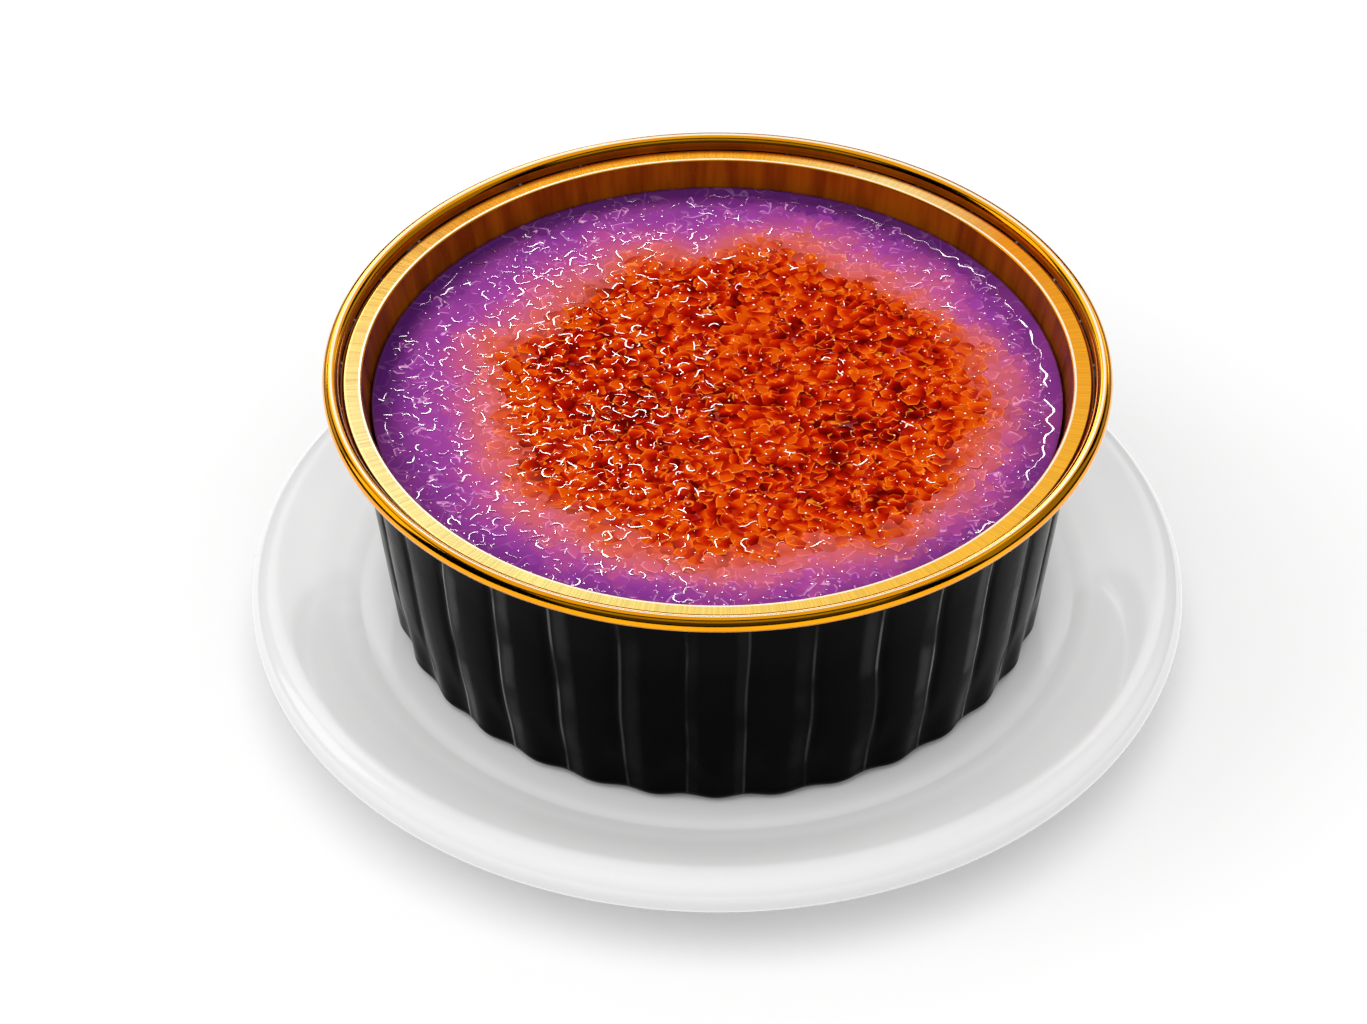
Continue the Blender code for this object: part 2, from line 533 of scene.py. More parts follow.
# the number of flutes passed on the way round to a place: whole in the middle of a panel, half in a groove
def fluteCount(tree, place, flutes, unevenness):
    x, y, _ = splitPlace(tree, place)
    azimuth = calc(tree, "DIVIDE", calc(tree, "ARCTAN2", x, times(tree, y, -1.0)), math.tau)
    wander = times(tree, minus(tree, noise(tree, place, 60.0, 1.0), 0.5), unevenness)
    return timesPlus(tree, azimuth, flutes, wander)


# presses the flutes into the outer wall: grooves between convex panels, a soft wave near the base
def fluteTree(material):
    tree, size = newGeometryTree("pressFlutes", fluteSizes)
    place = herePosition(tree)
    x, y, z = splitPlace(tree, place)
    count = fluteCount(tree, place, size["Flutes"], size["Unevenness"])
    fromMiddle = times(tree, calc(tree, "PINGPONG", count, 0.5), 2.0)
    crown = times(tree, calc(tree, "POWER", fromMiddle, 2.0), size["Crown"])
    crease = times(tree, calc(tree, "POWER", fromMiddle, 10.0), size["Crease"])
    sharp = plus(tree, crown, crease)
    soft = timesPlus(tree, calc(tree, "COSINE", times(tree, fromMiddle, math.pi)), -0.5, 0.5)
    below = minus(tree, size["Ledge Height"], z)
    softness = remap(tree, below, size["Soft From"], size["Soft To"])
    shape = timesPlus(tree, minus(tree, soft, sharp), softness, sharp)
    fade = remap(tree, below, size["Start"], size["Full"])
    dents = times(tree, minus(tree, noise(tree, place, 160.0), 0.5), size["Dents"], fade)
    inset = plus(tree, times(tree, shape, times(tree, size["Depth"], fade)), calc(tree, "ABSOLUTE", dents))
    radius = vectorCalc(tree, "LENGTH", joinPlace(tree, x, y, 0.0))
    scale = minus(tree, 1.0, calc(tree, "DIVIDE", inset, calc(tree, "MAXIMUM", radius, millimetre)))
    move = addNode(tree, "GeometryNodeSetPosition", {
        "Geometry": size["Geometry"],
        "Selection": isAbove(tree, readValue(tree, "outerWall"), 0.5),
        "Position": joinPlace(tree, times(tree, x, scale), times(tree, y, scale), z),
    })
    return closeTree(tree, move.outputs[0], material)


# "follows" is what the stops run along: clouds, the grain or the way round the cup from the front; round the
# cup the stops are painted light and shade
golds = {
    "roll": {
        "stops": [(0.0, (0.88, 0.33, 0.003)), (1.0, (0.93, 0.38, 0.005))], "follows": "cloud",
        "roughness": 0.11, "spread": 0.02, "streaks": 8.0, "grain": 0.06, "metallic": 1.0,
        "paintedHighlightLine": (48.90 * millimetre, 0.15 * millimetre), "paintedShade": True,
    },
    "ledge": {
        # painted light: the ledge is painted paler or deeper the way round, as the light falls on it, with a
        # painted highlight at 0.42
        "stops": [
            (0.00, (0.97, 0.68, 0.16)),  # front
            (0.09, (0.99, 0.53, 0.052)),
            (0.25, (0.90, 0.38, 0.016)),  # right
            (0.35, (0.86, 0.29, 0.005)),
            (0.42, (1.0, 0.74, 0.28)),
            (0.48, (0.95, 0.46, 0.02)),  # back
            (0.56, (0.70, 0.29, 0.004)),
            (0.63, (0.50, 0.19, 0.003)),
            (0.70, (0.68, 0.42, 0.09)),  # left
            (0.80, (0.82, 0.62, 0.26)),
            (0.92, (0.94, 0.76, 0.25)),
            (1.00, (0.97, 0.68, 0.16)),
        ],
        "follows": "turn", "roughness": 0.16, "spread": 0.03, "streaks": 240.0, "grain": 0.10,
        "metallic": 1.0, "paintedHighlightLine": (45.30 * millimetre, 0.17 * millimetre), "hairlines": (0.88, 1.05),
    },
    "wall": {
        "stops": [(0.0, (0.22, 0.037, 0.0006)), (1.0, (0.40, 0.092, 0.0015))], "follows": "grain",
        "roughness": 0.30, "spread": 0.08, "streaks": 17.0, "grain": 0.30, "metallic": 0.45,
    },
    "groove": {
        "stops": [(0.0, (0.42, 0.110, 0.0015)), (1.0, (0.60, 0.175, 0.003))], "follows": "grain",
        "roughness": 0.32, "spread": 0.08, "streaks": 8.0, "grain": 0.0, "metallic": 0.8, "paintedShade": True,
    },
}
paintedHighlightGold = (1.0, 0.92, 0.74)  # painted highlight: a bright line painted onto the gold where a highlight falls
# the painted shade on the inner side of the roll and the groove
paintedShadeGold = (0.22, 0.036, 0.0006)


# long streaks up the wall and across the ledge, the finer the larger their scale
def streakNoise(tree, place, scale):
    x, y, z = splitPlace(tree, place)
    level = joinPlace(tree, x, y, 0.0)
    along = vectorCalc(tree, "SCALE", vectorCalc(tree, "NORMALIZE", level), scale)
    reach = times(tree, vectorCalc(tree, "LENGTH", level), 40.0)
    height = joinPlace(tree, 0.0, 0.0, plus(tree, reach, times(tree, z, 40.0)))
    return noise(tree, vectorCalc(tree, "ADD", along, height), 1.0, 3.0, 0.6)


# distances from the axis, to either side and to the back, between which the painted shade changes
paintedRollShading = {
    "inner": (48.40 * millimetre, 48.65 * millimetre),
    "beside": (5.0 * millimetre, 27.0 * millimetre),
    "front": (-8.0 * millimetre, 12.0 * millimetre),
}


# painted shade: the inner side of the roll and the groove are painted darker to the left and right of the
# front
def paintedRollShade(tree, x, y, radius):
    inner = remap(tree, radius, *paintedRollShading["inner"], 1.0, 0.0)
    beside = remap(tree, calc(tree, "ABSOLUTE", x), *paintedRollShading["beside"], 0.35, 0.95)
    front = remap(tree, y, *paintedRollShading["front"], 1.0, 0.0)
    return times(tree, inner, times(tree, beside, front))


def goldMaterial(kind):
    g = golds[kind]
    material, tree, shader = newMaterial(kind + "Gold")
    place = objectPlace(tree)
    x, y, _ = splitPlace(tree, place)
    radius = vectorCalc(tree, "LENGTH", flatPlace(tree, place))
    grain = streakNoise(tree, place, g["streaks"])
    # round the ledge, the stops paint light and shade by the way round
    if g["follows"] == "turn":
        azimuth = calc(tree, "ARCTAN2", x, times(tree, y, -1.0))
        share = calc(tree, "FRACT", calc(tree, "DIVIDE", azimuth, math.tau))
    else:
        share = remap(tree, noise(tree, place, 90.0) if g["follows"] == "cloud" else grain, 0.3, 0.7)
    tint = colourRamp(tree, share, g["stops"])
    if "hairlines" in g:
        tint = vectorCalc(tree, "SCALE", tint, remap(tree, grain, 0.35, 0.65, *g["hairlines"]))
    if "paintedShade" in g:
        tint = mixColours(tree, paintedRollShade(tree, x, y, radius), tint, paintedShadeGold)
    # painted highlight: a bright line at a set distance from the axis
    if "paintedHighlightLine" in g:
        middle, half = g["paintedHighlightLine"]
        away = calc(tree, "ABSOLUTE", minus(tree, radius, middle))
        tint = mixColours(tree, remap(tree, away, half * 0.6, half * 1.4, 1.0, 0.0), tint, paintedHighlightGold)
    low, high = g["roughness"] - g["spread"] / 2, g["roughness"] + g["spread"]
    inputs = {"Base Color": tint, "Metallic": g["metallic"], "Specular IOR Level": 0.1,
              "Roughness": remap(tree, grain, 0.3, 0.7, low, high)}
    if g["grain"]:
        inputs["Normal"] = bump(tree, grain, g["grain"], 0.03 * millimetre)
    feedAll(tree, shader, inputs)
    return material


lacquer = {
    "deep": (0.0006, 0.0006, 0.0007),
    "cloudy": (0.0012, 0.0012, 0.0012),
    "paintedLightBand": (0.045, 0.045, 0.046),  # painted sheen along the outward side of each panel
    "line": (0.22, 0.22, 0.225),  # painted glint beside its groove
    "turnsOver": 8.0 * millimetre,  # the painted sheen and glint change sides within this distance of the middle
    "outer": 41.0 * millimetre,
    "roughness": (0.13, 0.24),
    # each painted mark's place in a flute at the left and the right, and the distances between which it
    # fades out
    "paintedSheenMarks": {"paintedLightBand": (0.75, 0.25, 0.03, 0.16), "line": (0.575, 0.425, 0.008, 0.035)},
}


def blackLacquerMaterial():
    k = lacquer
    material, tree, shader = newMaterial("blackLacquer")
    place = objectPlace(tree)
    cloud = remap(tree, noise(tree, place, 70.0, 3.0), 0.3, 0.7)
    tint = mixColours(tree, cloud, k["deep"], k["cloudy"])
    x, _, _ = splitPlace(tree, place)
    share = calc(tree, "FRACT", fluteCount(tree, place, fluteSizes["Flutes"], fluteSizes["Unevenness"]))
    outward = remap(tree, calc(tree, "ABSOLUTE", x), k["turnsOver"], k["outer"], 0.10, 1.0)
    broken = remap(tree, noise(tree, place, 110.0), 0.38, 0.62, 0.15, 1.0)
    # painted sheen: a soft band and a bright line beside each groove, strongest towards the sides
    for mark, (atLeft, atRight, near, far) in k["paintedSheenMarks"].items():
        middle = remap(tree, x, -k["turnsOver"], k["turnsOver"], atLeft, atRight)
        away = calc(tree, "ABSOLUTE", minus(tree, share, middle))
        strength = times(tree, remap(tree, away, near, far, 1.0, 0.0), broken, outward)
        tint = mixColours(tree, strength, tint, k[mark])
    rub = noise(tree, place, 400.0, 5.0, 0.65)
    feedAll(tree, shader, {
        "Base Color": tint,
        "Roughness": remap(tree, rub, 0.3, 0.75, *k["roughness"]),
        "Specular IOR Level": 0.02,
        "Normal": bump(tree, rub, 0.2, 0.03 * millimetre),
    })
    return material


# the rolled rim's section: round, with a flatter shoulder on its inner side
def rollPoints(middle):
    c = cupSizes
    points = []
    for turn in np.linspace(c["rollFrom"], c["rollTo"], c["rollSteps"]):
        radius = c["rollRadius"]
        fromShoulder = abs(turn - c["shoulderAt"])
        if fromShoulder < c["shoulderHalf"]:
            chord = math.cos(math.radians(c["shoulderHalf"])) / math.cos(math.radians(fromShoulder))
            radius *= 1.0 + c["shoulderFlatness"] * (chord - 1.0)
        angle = math.radians(turn)
        up = radius * c["rollStretch"] * math.sin(angle)
        points.append((middle[0] + radius * math.cos(angle), middle[1] + up))
    return points


# how far each gold reaches past the edge of the ledge that it starts or ends at
goldMargins = {
    "ledgeInside": 0.20 * millimetre,
    "ledgeOutside": 0.05 * millimetre,
    "groove": 0.12 * millimetre,
    "wall": 0.02 * millimetre,
    "grooveShare": 0.93,  # of the roll's radius, inward from its middle
}


# gives each face inside the outer wall the gold of its place: 1 roll, 2 ledge, 3 wall, 4 groove
def assignGolds(mesh, roll):
    c, m = cupSizes, goldMargins
    count = len(mesh.vertices)
    goldSide = np.zeros(count)
    mesh.attributes["goldSide"].data.foreach_get("value", goldSide)
    coords = np.zeros(count * 3)
    mesh.vertices.foreach_get("co", coords)
    coords = coords.reshape(-1, 3)
    radius = np.hypot(coords[:, 0], coords[:, 1])
    ledgeFrom, ledgeTo = c["ledgeInner"] + m["ledgeInside"], c["ledgeOuter"] - m["ledgeOutside"]
    grooveFrom, grooveTo = c["ledgeOuter"] - m["groove"], roll[0] - m["grooveShare"] * c["rollRadius"]
    for face in mesh.polygons:
        corners = list(face.vertices)
        if goldSide[corners].min() > 0.5:
            middle = radius[corners].mean()
            if grooveFrom < middle < grooveTo:
                face.material_index = 4
            elif ledgeFrom < middle < ledgeTo and coords[corners, 2].mean() < roll[1]:
                face.material_index = 2
            elif middle < c["ledgeInner"] + m["wall"]:
                face.material_index = 3
            else:
                face.material_index = 1


def makeCup():
    c = cupSizes
    rollHeight = cupHigh[2] - c["rollRadius"] * c["rollStretch"] - c["clearance"]
    roll = (cupHigh[0] - c["rollRadius"], rollHeight)
    ledgeHeight = roll[1] - c["ledgeDrop"]
    floorHeight = cupLow[2] + c["floorThickness"]

    inner = [(0.0, floorHeight), (c["floorRadius"], floorHeight)]
    inner.append((c["custardEdge"] - 0.6 * millimetre, custardHigh[2] - 6.0 * millimetre))
    innerCorner = (c["ledgeInner"] + c["ledgeRound"], ledgeHeight - c["ledgeRound"])
    inner += straightPoints(inner[-1], (c["ledgeInner"], innerCorner[1] - 0.2 * millimetre), 10)
    inner += arcPoints(innerCorner, c["ledgeRound"], 180.0, 90.0, 9)
    ledgeEdge = (c["ledgeOuter"] - c["lipRound"], ledgeHeight - c["lipRound"])
    ledge = straightPoints(inner[-1], (ledgeEdge[0], ledgeHeight), 8)
    ledge += arcPoints(ledgeEdge, c["lipRound"], 90.0, 10.0, 8)
    # a narrow groove, then the roll
    rollInside = roll[0] - c["rollRadius"]
    grooveMiddle = (0.5 * (ledge[-1][0] + rollInside), ledgeHeight - c["grooveDepth"])
    halfGroove = 0.5 * (rollInside - ledge[-1][0])
    ledge += arcPoints(grooveMiddle, halfGroove, 180.0, 340.0, 9, stretch=0.7)[1:]
    rim = rollPoints(roll)
    wallTop = (c["topRadius"], roll[1] - c["wallUnderRim"])
    under = straightPoints(rim[-1], wallTop, 3)
    corner = (c["baseRadius"] - c["baseCorner"], cupLow[2] + c["baseCorner"])
    wall = [wallTop] + straightPoints(wallTop, (c["baseRadius"], corner[1]), 36)
    wall += arcPoints(corner, c["baseCorner"], 5.0, -90.0, 10)
    base = [(20.0 * millimetre, cupLow[2]), (0.0, cupLow[2])]
    profile = inner + ledge + rim + under + wall + base

    cup = turnProfile("foilCup", profile, int(fluteSizes["Flutes"]) * c["stepsPerFlute"])
    firstWall = len(inner + ledge + rim + under)
    outer = cup.data.attributes.new("outerWall", "FLOAT", "POINT")
    gold = cup.data.attributes.new("goldSide", "FLOAT", "POINT")
    for i in range(len(profile)):
        outer.data[i].value = 1.0 if firstWall <= i < len(profile) - 3 else 0.0
        gold.data[i].value = 1.0 if i < firstWall - len(under) else 0.0
    runTree(cup, fluteTree(blackLacquerMaterial()), {**fluteSizes, "Ledge Height": ledgeHeight})
    for kind in golds:
        cup.data.materials.append(goldMaterial(kind))
    assignGolds(cup.data, roll)
    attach(cup, "root")
    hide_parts("foil_cup")


makeCup()
print("foil cup made")


custardSizes = {
    "gridSteps": 230,
    "edgeRadius": 43.9 * millimetre,
    "baseRadius": 40.9 * millimetre,
    "topDrop": 0.85 * millimetre,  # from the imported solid's top down to the flat custard
    "crustCentre": (3.2 * millimetre, -1.5 * millimetre, 0.0),
    "orangeTo": 28.0 * millimetre,  # caramel inside this distance from the crust's centre
    "pinkFrom": 33.0 * millimetre,
    "purpleFrom": 40.0 * millimetre,
    "unevenEdge": 11.0 * millimetre,
    "flakeScatter": 2.4 * millimetre,  # how far single flakes stray across the crust's edge
    "violet": (0.165, 0.024, 0.240),  # clouds in the outer custard
    "violetOver": (34.0 * millimetre, 41.0 * millimetre),
    "wallShade": (0.060, 0.008, 0.095),  # painted shade where the wall keeps the light off
    "wallShadeOver": (38.5 * millimetre, 43.0 * millimetre),
}
reliefSizes = {
    "Crust Rise": 0.30 * millimetre,
    "Lumps": 0.45 * millimetre,
    "Edge Lift": 0.22 * millimetre,
    "Gel Relief": 0.10 * millimetre,
}
# burnt patches: millimetres to the right and back of the middle, and their reach
burntPatches = {
    "backDeep": (2.0, 22.5, 6.5), "backLeft": (-15.5, 21.5, 6.0), "left": (-19.0, 8.0, 9.0),
    "frontLeft": (-10.0, -7.5, 9.5), "right": (15.5, -7.0, 7.5), "frontRight": (13.5, -14.5, 6.0),
    "farRight": (25.5, -3.5, 5.5), "backRight": (21.0, 17.0, 5.0), "middle": (1.0, -2.0, 6.0),
    "lowLeft": (-22.0, -15.0, 5.0), "lowRight": (19.5, -20.5, 5.0),
}
caramelStops = [
    (0.00, (0.61, 0.064, 0.0008)),
    (0.20, (0.50, 0.020, 0.0004)),
    (0.42, (0.40, 0.0065, 0.0003)),
    (0.68, (0.26, 0.0024, 0.0002)),
    (1.00, (0.10, 0.0008, 0.0002)),
]
creamStops = [
    (0.00, (0.62, 0.080, 0.016)),
    (0.25, (0.62, 0.105, 0.075)),
    (0.50, (0.57, 0.105, 0.160)),
    (0.75, (0.44, 0.068, 0.255)),
    (1.00, (0.33, 0.050, 0.305)),
]


# distance from the crust's centre, made uneven; tone is a flake's random number from 0 to 1
def crustReach(tree, level, tone):
    s = custardSizes
    distance = vectorCalc(tree, "DISTANCE", level, s["crustCentre"])
    wave = minus(tree, flatNoise(tree, level, 75.0, 3.0, 0.55), 0.5)
    reach = timesPlus(tree, wave, s["unevenEdge"], distance)
    return timesPlus(tree, minus(tree, tone, 0.5), s["flakeScatter"], reach)


# 0 where the caramel is light, 1 where it is burnt
def burntShare(tree, level):
    total = remap(tree, flatNoise(tree, level, 150.0, 3.0, 0.6), 0.30, 0.75, -0.05, 0.45)
    for x, y, reach in burntPatches.values():
        away = vectorCalc(tree, "DISTANCE", level, (x * millimetre, y * millimetre, 0.0))
        total = plus(tree, total, remap(tree, away, 0.0, reach * millimetre, 0.40, 0.0))
    paler = remap(tree, crustReach(tree, level, 0.5), 20.0 * millimetre, 28.0 * millimetre, 0.0, -0.12)
    return plus(tree, total, paler)


# the colour of crust, blush or custard at a place; heat shifts it darker or lighter
def sweetColour(tree, level, tone, heat):
    s = custardSizes
    reach = crustReach(tree, level, tone)
    burnt = plus(tree, burntShare(tree, level), heat)
    caramel = colourRamp(tree, burnt, caramelStops)
    cream = colourRamp(tree, remap(tree, reach, s["orangeTo"], s["purpleFrom"], smooth=False), creamStops)
    colour = mixColours(tree, remap(tree, reach, s["pinkFrom"], s["orangeTo"]), cream, caramel)
    radius = vectorCalc(tree, "LENGTH", level)
    clouds = remap(tree, flatNoise(tree, level, 110.0, 3.0, 0.55), 0.35, 0.62, 0.15, 0.62)
    violet = times(tree, remap(tree, radius, *s["violetOver"]), clouds)
    colour = mixColours(tree, violet, colour, s["violet"])
    # painted shade of the wall, deepest at the back and on the left
    x, y, _ = splitPlace(tree, level)
    side = remap(tree, timesPlus(tree, x, -0.45, y), -15.0 * millimetre, 30.0 * millimetre, 0.30, 1.0)
    paintedLightBand = times(tree, remap(tree, radius, *s["wallShadeOver"]), side)
    return mixColours(tree, paintedLightBand, colour, s["wallShade"]), reach


# the sockets that every sweet surface sets: dull below, glossy above
def sweetGloss(coat, coatRoughness):
    return {"Roughness": 0.45, "Specular IOR Level": 0.0, "Coat Weight": coat,
            "Coat Roughness": coatRoughness}


# thin curling lines, 1 on a line and 0 away from it
def curlLines(tree, level, scale, width):
    drift = flatNoise(tree, level, scale * 0.6, 1.0, output=1)
    swirled = vectorCalc(tree, "ADD", level, vectorCalc(tree, "SCALE", drift, 0.9 / scale))
    wave = flatNoise(tree, swirled, scale, 1.0)
    return remap(tree, calc(tree, "ABSOLUTE", minus(tree, wave, 0.5)), 0.0, width, 1.0, 0.0)


def custardMaterial():
    material, tree, shader = newMaterial("custardAndCrust")
    level = flatPlace(tree, objectPlace(tree))
    cloud = flatNoise(tree, level, 160.0)
    heat = remap(tree, crustReach(tree, level, cloud), 25.0 * millimetre, 30.0 * millimetre, 0.30, -0.25)
    colour, _ = sweetColour(tree, level, cloud, heat)
    curl = curlLines(tree, level, 350.0, 0.036)
    # painted highlight: pale curling lines, stronger in some clouds than in others
    paintedCurlHighlight = times(tree, curl, remap(tree, cloud, 0.35, 0.65, 0.08, 0.50))
    paintedHighlightColour = vectorCalc(tree, "ADD", vectorCalc(tree, "SCALE", colour, 1.2), (0.16, 0.10, 0.13))
    # small cells like set gel, deeper in the pink round the crust
    cells = addNode(tree, "ShaderNodeTexVoronoi", voronoi_dimensions="2D", feature="SMOOTH_F1")
    feedAll(tree, cells, {"Vector": level, "Scale": 520.0})
    fine = flatNoise(tree, level, 1400.0)
    inPink = remap(tree, crustReach(tree, level, 0.5), 40.0 * millimetre, 34.0 * millimetre, 0.4, 1.8)
    relief = timesPlus(tree, fine, 0.3, times(tree, cells.outputs["Distance"], inPink))
    relief = plus(tree, relief, curl)
    feedAll(tree, shader, {
        **sweetGloss(1.0, 0.12),
        "Base Color": mixColours(tree, paintedCurlHighlight, colour, paintedHighlightColour),
        "Normal": bump(tree, relief, 0.35, 0.12 * millimetre),
    })
    return material


def flakeMaterial():
    material, tree, shader = newMaterial("sugarFlakes")
    tone, lift, edge = (pointValue(tree, name) for name in ("tone", "lift", "edge"))
    place = objectPlace(tree)
    # painted shade and light: darker at the sunk end of a flake, lighter at its raised front
    slope = remap(tree, lift, 0.22, 0.92, 0.62, -0.28, smooth=False)
    mottle = timesPlus(tree, noise(tree, place, 430.0), 0.9, -0.45)
    # heat holds the flake's random tone, the painted shade along it and a mottle
    heat = plus(tree, plus(tree, times(tree, minus(tree, tone, 0.5), 0.45), slope), mottle)
    colour, reach = sweetColour(tree, flatPlace(tree, pointValue(tree, "centre", "Vector")), tone, heat)
    # the cream under the thin flakes outside the crust is a shade paler or deeper from flake to flake, and
    # every flake is painted lighter towards its raised front
    shade = plus(tree, timesPlus(tree, tone, 0.10, 0.82), times(tree, lift, 0.24))
    colour = vectorCalc(tree, "SCALE", colour, shade)
    # painted highlight: a pale line along each flake's raised edge and along broken curling lines
    paintedHighlight = times(tree, calc(tree, "POWER", edge, 4.0), times(tree, lift, 0.85))
    here = flatPlace(tree, place)
    curl = curlLines(tree, here, 390.0, 0.030)
    broken = remap(tree, flatNoise(tree, here, 520.0, 1.0), 0.46, 0.60, 0.0, 0.75)
    paintedHighlight = calc(tree, "MAXIMUM", paintedHighlight, times(tree, curl, broken))
    outside = remap(tree, reach, 29.0 * millimetre, 37.0 * millimetre)
    paintedHighlightColour = mixColours(tree, outside, (1.0, 0.25, 0.016), (0.85, 0.42, 0.72))
    ripple = timesPlus(tree, curl, 0.8, noise(tree, place, 1300.0))
    own = ownNormal(tree)
    feedAll(tree, shader, {
        **sweetGloss(0.15, 0.10),
        "Base Color": mixColours(tree, paintedHighlight, colour, paintedHighlightColour),
        "Normal": bump(tree, ripple, 0.30, 0.10 * millimetre, liftedNormal(tree, own, 0.8)),
        "Coat Normal": liftedNormal(tree, own, 2.0),
    })
    return material


# clear syrup; flatness is how far its gloss lies flat, whatever the strand's own shape
def syrupMaterial(name, paleness, flatness=0.0):
    material, tree, shader = newMaterial(name)
    level = flatPlace(tree, pointValue(tree, "centre", "Vector"))
    colour, _ = sweetColour(tree, level, pointValue(tree, "tone"), -0.10)
    brighter = vectorCalc(tree, "SCALE", colour, 1.15)
    place = objectPlace(tree)
    inputs = {
        **sweetGloss(1.0, 0.05),
        "Base Color": mixColours(tree, paleness, brighter, (0.90, 0.62, 0.50)),
        "Roughness": remap(tree, noise(tree, place, 2500.0, 1.0), 0.3, 0.7, 0.40, 0.55),
    }
    if flatness:
        sway = vectorCalc(tree, "SUBTRACT", noise(tree, place, 330.0, 1.0, output=1), (0.5, 0.5, 0.5))
        flat = vectorCalc(tree, "ADD", vectorCalc(tree, "SCALE", sway, 1.1), (0.0, 0.0, 1.0))
        own = vectorCalc(tree, "SCALE", ownNormal(tree), 1.0 - flatness)
        mixed = vectorCalc(tree, "ADD", own, vectorCalc(tree, "SCALE", flat, flatness))
        inputs["Coat Normal"] = vectorCalc(tree, "NORMALIZE", mixed)
    feedAll(tree, shader, inputs)
    return material


# lifts the crust, its lumps and the custard's edge against the wall out of the flat top
def crustTree(material):
    tree, size = newGeometryTree("raiseCrust", reliefSizes)
    level = flatPlace(tree, herePosition(tree))
    share = remap(tree, crustReach(tree, level, 0.5), 35.0 * millimetre, 29.0 * millimetre)
    radius = vectorCalc(tree, "LENGTH", level)
    lumps = minus(tree, flatNoise(tree, level, 130.0), 0.5)
    ripple = minus(tree, flatNoise(tree, level, 480.0, 1.0), 0.5)
    rise = times(tree, share, timesPlus(tree, lumps, size["Lumps"], size["Crust Rise"]))
    rise = plus(tree, rise, times(tree, ripple, size["Gel Relief"]))
    edge = remap(tree, radius, 42.4 * millimetre, 44.0 * millimetre)
    rise = plus(tree, rise, times(tree, edge, size["Edge Lift"]))
    offset = joinPlace(tree, 0.0, 0.0, times(tree, rise, readValue(tree, "topSide")))
    move = addNode(tree, "GeometryNodeSetPosition", {"Geometry": size["Geometry"], "Offset": offset})
    return closeTree(tree, move.outputs[0], material)


# a square grid bent into a disc, with walls down to a smaller base
def custardMesh():
    s = custardSizes
    steps = s["gridSteps"]
    row = steps + 1
    line = np.linspace(-1.0, 1.0, row)
    a, b = np.meshgrid(line, line, indexing="xy")
    larger = np.maximum(np.abs(a), np.abs(b))
    acrossA = np.abs(a) >= np.abs(b)
    ratio = np.where(acrossA, b / np.where(a == 0, 1, a), a / np.where(b == 0, 1, b))
    turn = ratio * math.pi / 4
    long = larger * np.where(acrossA, np.sign(a), np.sign(b)) * np.cos(turn)
    short = larger * np.where(acrossA, np.sign(a), np.sign(b)) * np.sin(turn)
    x, y = np.where(acrossA, long, short), np.where(acrossA, short, long)
    topHeight = custardHigh[2] - s["topDrop"]
    flat = [x.ravel() * s["edgeRadius"], y.ravel() * s["edgeRadius"], np.full(x.size, topHeight)]
    points = np.stack(flat, axis=1)
    corner = (np.arange(steps)[:, None] * row + np.arange(steps)[None, :]).ravel()
    faces = np.stack([corner, corner + 1, corner + row + 1, corner + row], axis=1).tolist()
    # once round the grid's border
    border = list(range(0, steps)) + [steps + row * i for i in range(steps)]
    border += [row * steps + steps - i for i in range(steps)] + [row * (steps - i) for i in range(steps)]
    count, n = len(points), len(border)
    layers, previous = [points], border
    underEdge = (s["edgeRadius"] - 0.25 * millimetre, topHeight - 2.0 * millimetre)
    for radius, height in (underEdge, (s["baseRadius"], custardLow[2])):
        ring = points[border].copy()
        ring[:, :2] *= radius / s["edgeRadius"]
        ring[:, 2] = height
        layers.append(ring)
        here = list(range(count, count + n))
        faces += [(previous[(i + 1) % n], previous[i], here[i], here[(i + 1) % n]) for i in range(n)]
        count += n
        previous = here
    layers.append(np.array([[0.0, 0.0, custardLow[2]]]))
    faces += [(previous[(i + 1) % n], previous[i], count) for i in range(n)]
    topSide = np.zeros(count + 1)
    topSide[: len(points)] = 1.0
    return meshWithValues("custardAndCrust", np.concatenate(layers).tolist(), faces, topSide=topSide)


def meshWithValues(name, points, faces, **values):
    mesh = bpy.data.meshes.new(name)
    mesh.from_pydata(points, [], faces)
    for key, entries in values.items():
        attribute = mesh.attributes.new(key, "FLOAT", "POINT")
        attribute.data.foreach_set("value", entries)
    mesh.shade_smooth()
    return mesh


def makeCustard():
    custard = linkObject("custardAndCrust", custardMesh())
    runTree(custard, crustTree(custardMaterial()), reliefSizes)
    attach(custard, "root")
    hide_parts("custard")
    return custard


# what is scattered over the custard; "Flatten" is how flat it lies outside the crust, 1 for no change
flakeSizes = {
    "Spacing": 1.38 * millimetre, "Smallest": 0.92 * millimetre, "Largest": 1.55 * millimetre,
    "Reach": 41.9 * millimetre, "Lift": -0.03 * millimetre, "Warp": 1.70 * millimetre,
    "Tilt": 0.14, "Flatten": 0.50, "Seed": 11,
}
threadSizes = {
    "Spacing": 1.62 * millimetre, "Smallest": 0.48 * millimetre, "Largest": 1.10 * millimetre,
    "Reach": 42.6 * millimetre, "Lift": 0.10 * millimetre, "Warp": 0.60 * millimetre,
    "Tilt": 0.0, "Flatten": 1.0, "Seed": 23,
}
dropSizes = {
    "Spacing": 1.20 * millimetre, "Smallest": 0.08 * millimetre, "Largest": 0.19 * millimetre,
    "Reach": 42.8 * millimetre, "Lift": 0.06 * millimetre, "Warp": 0.0,
    "Tilt": 0.0, "Flatten": 1.0, "Seed": 37,
}
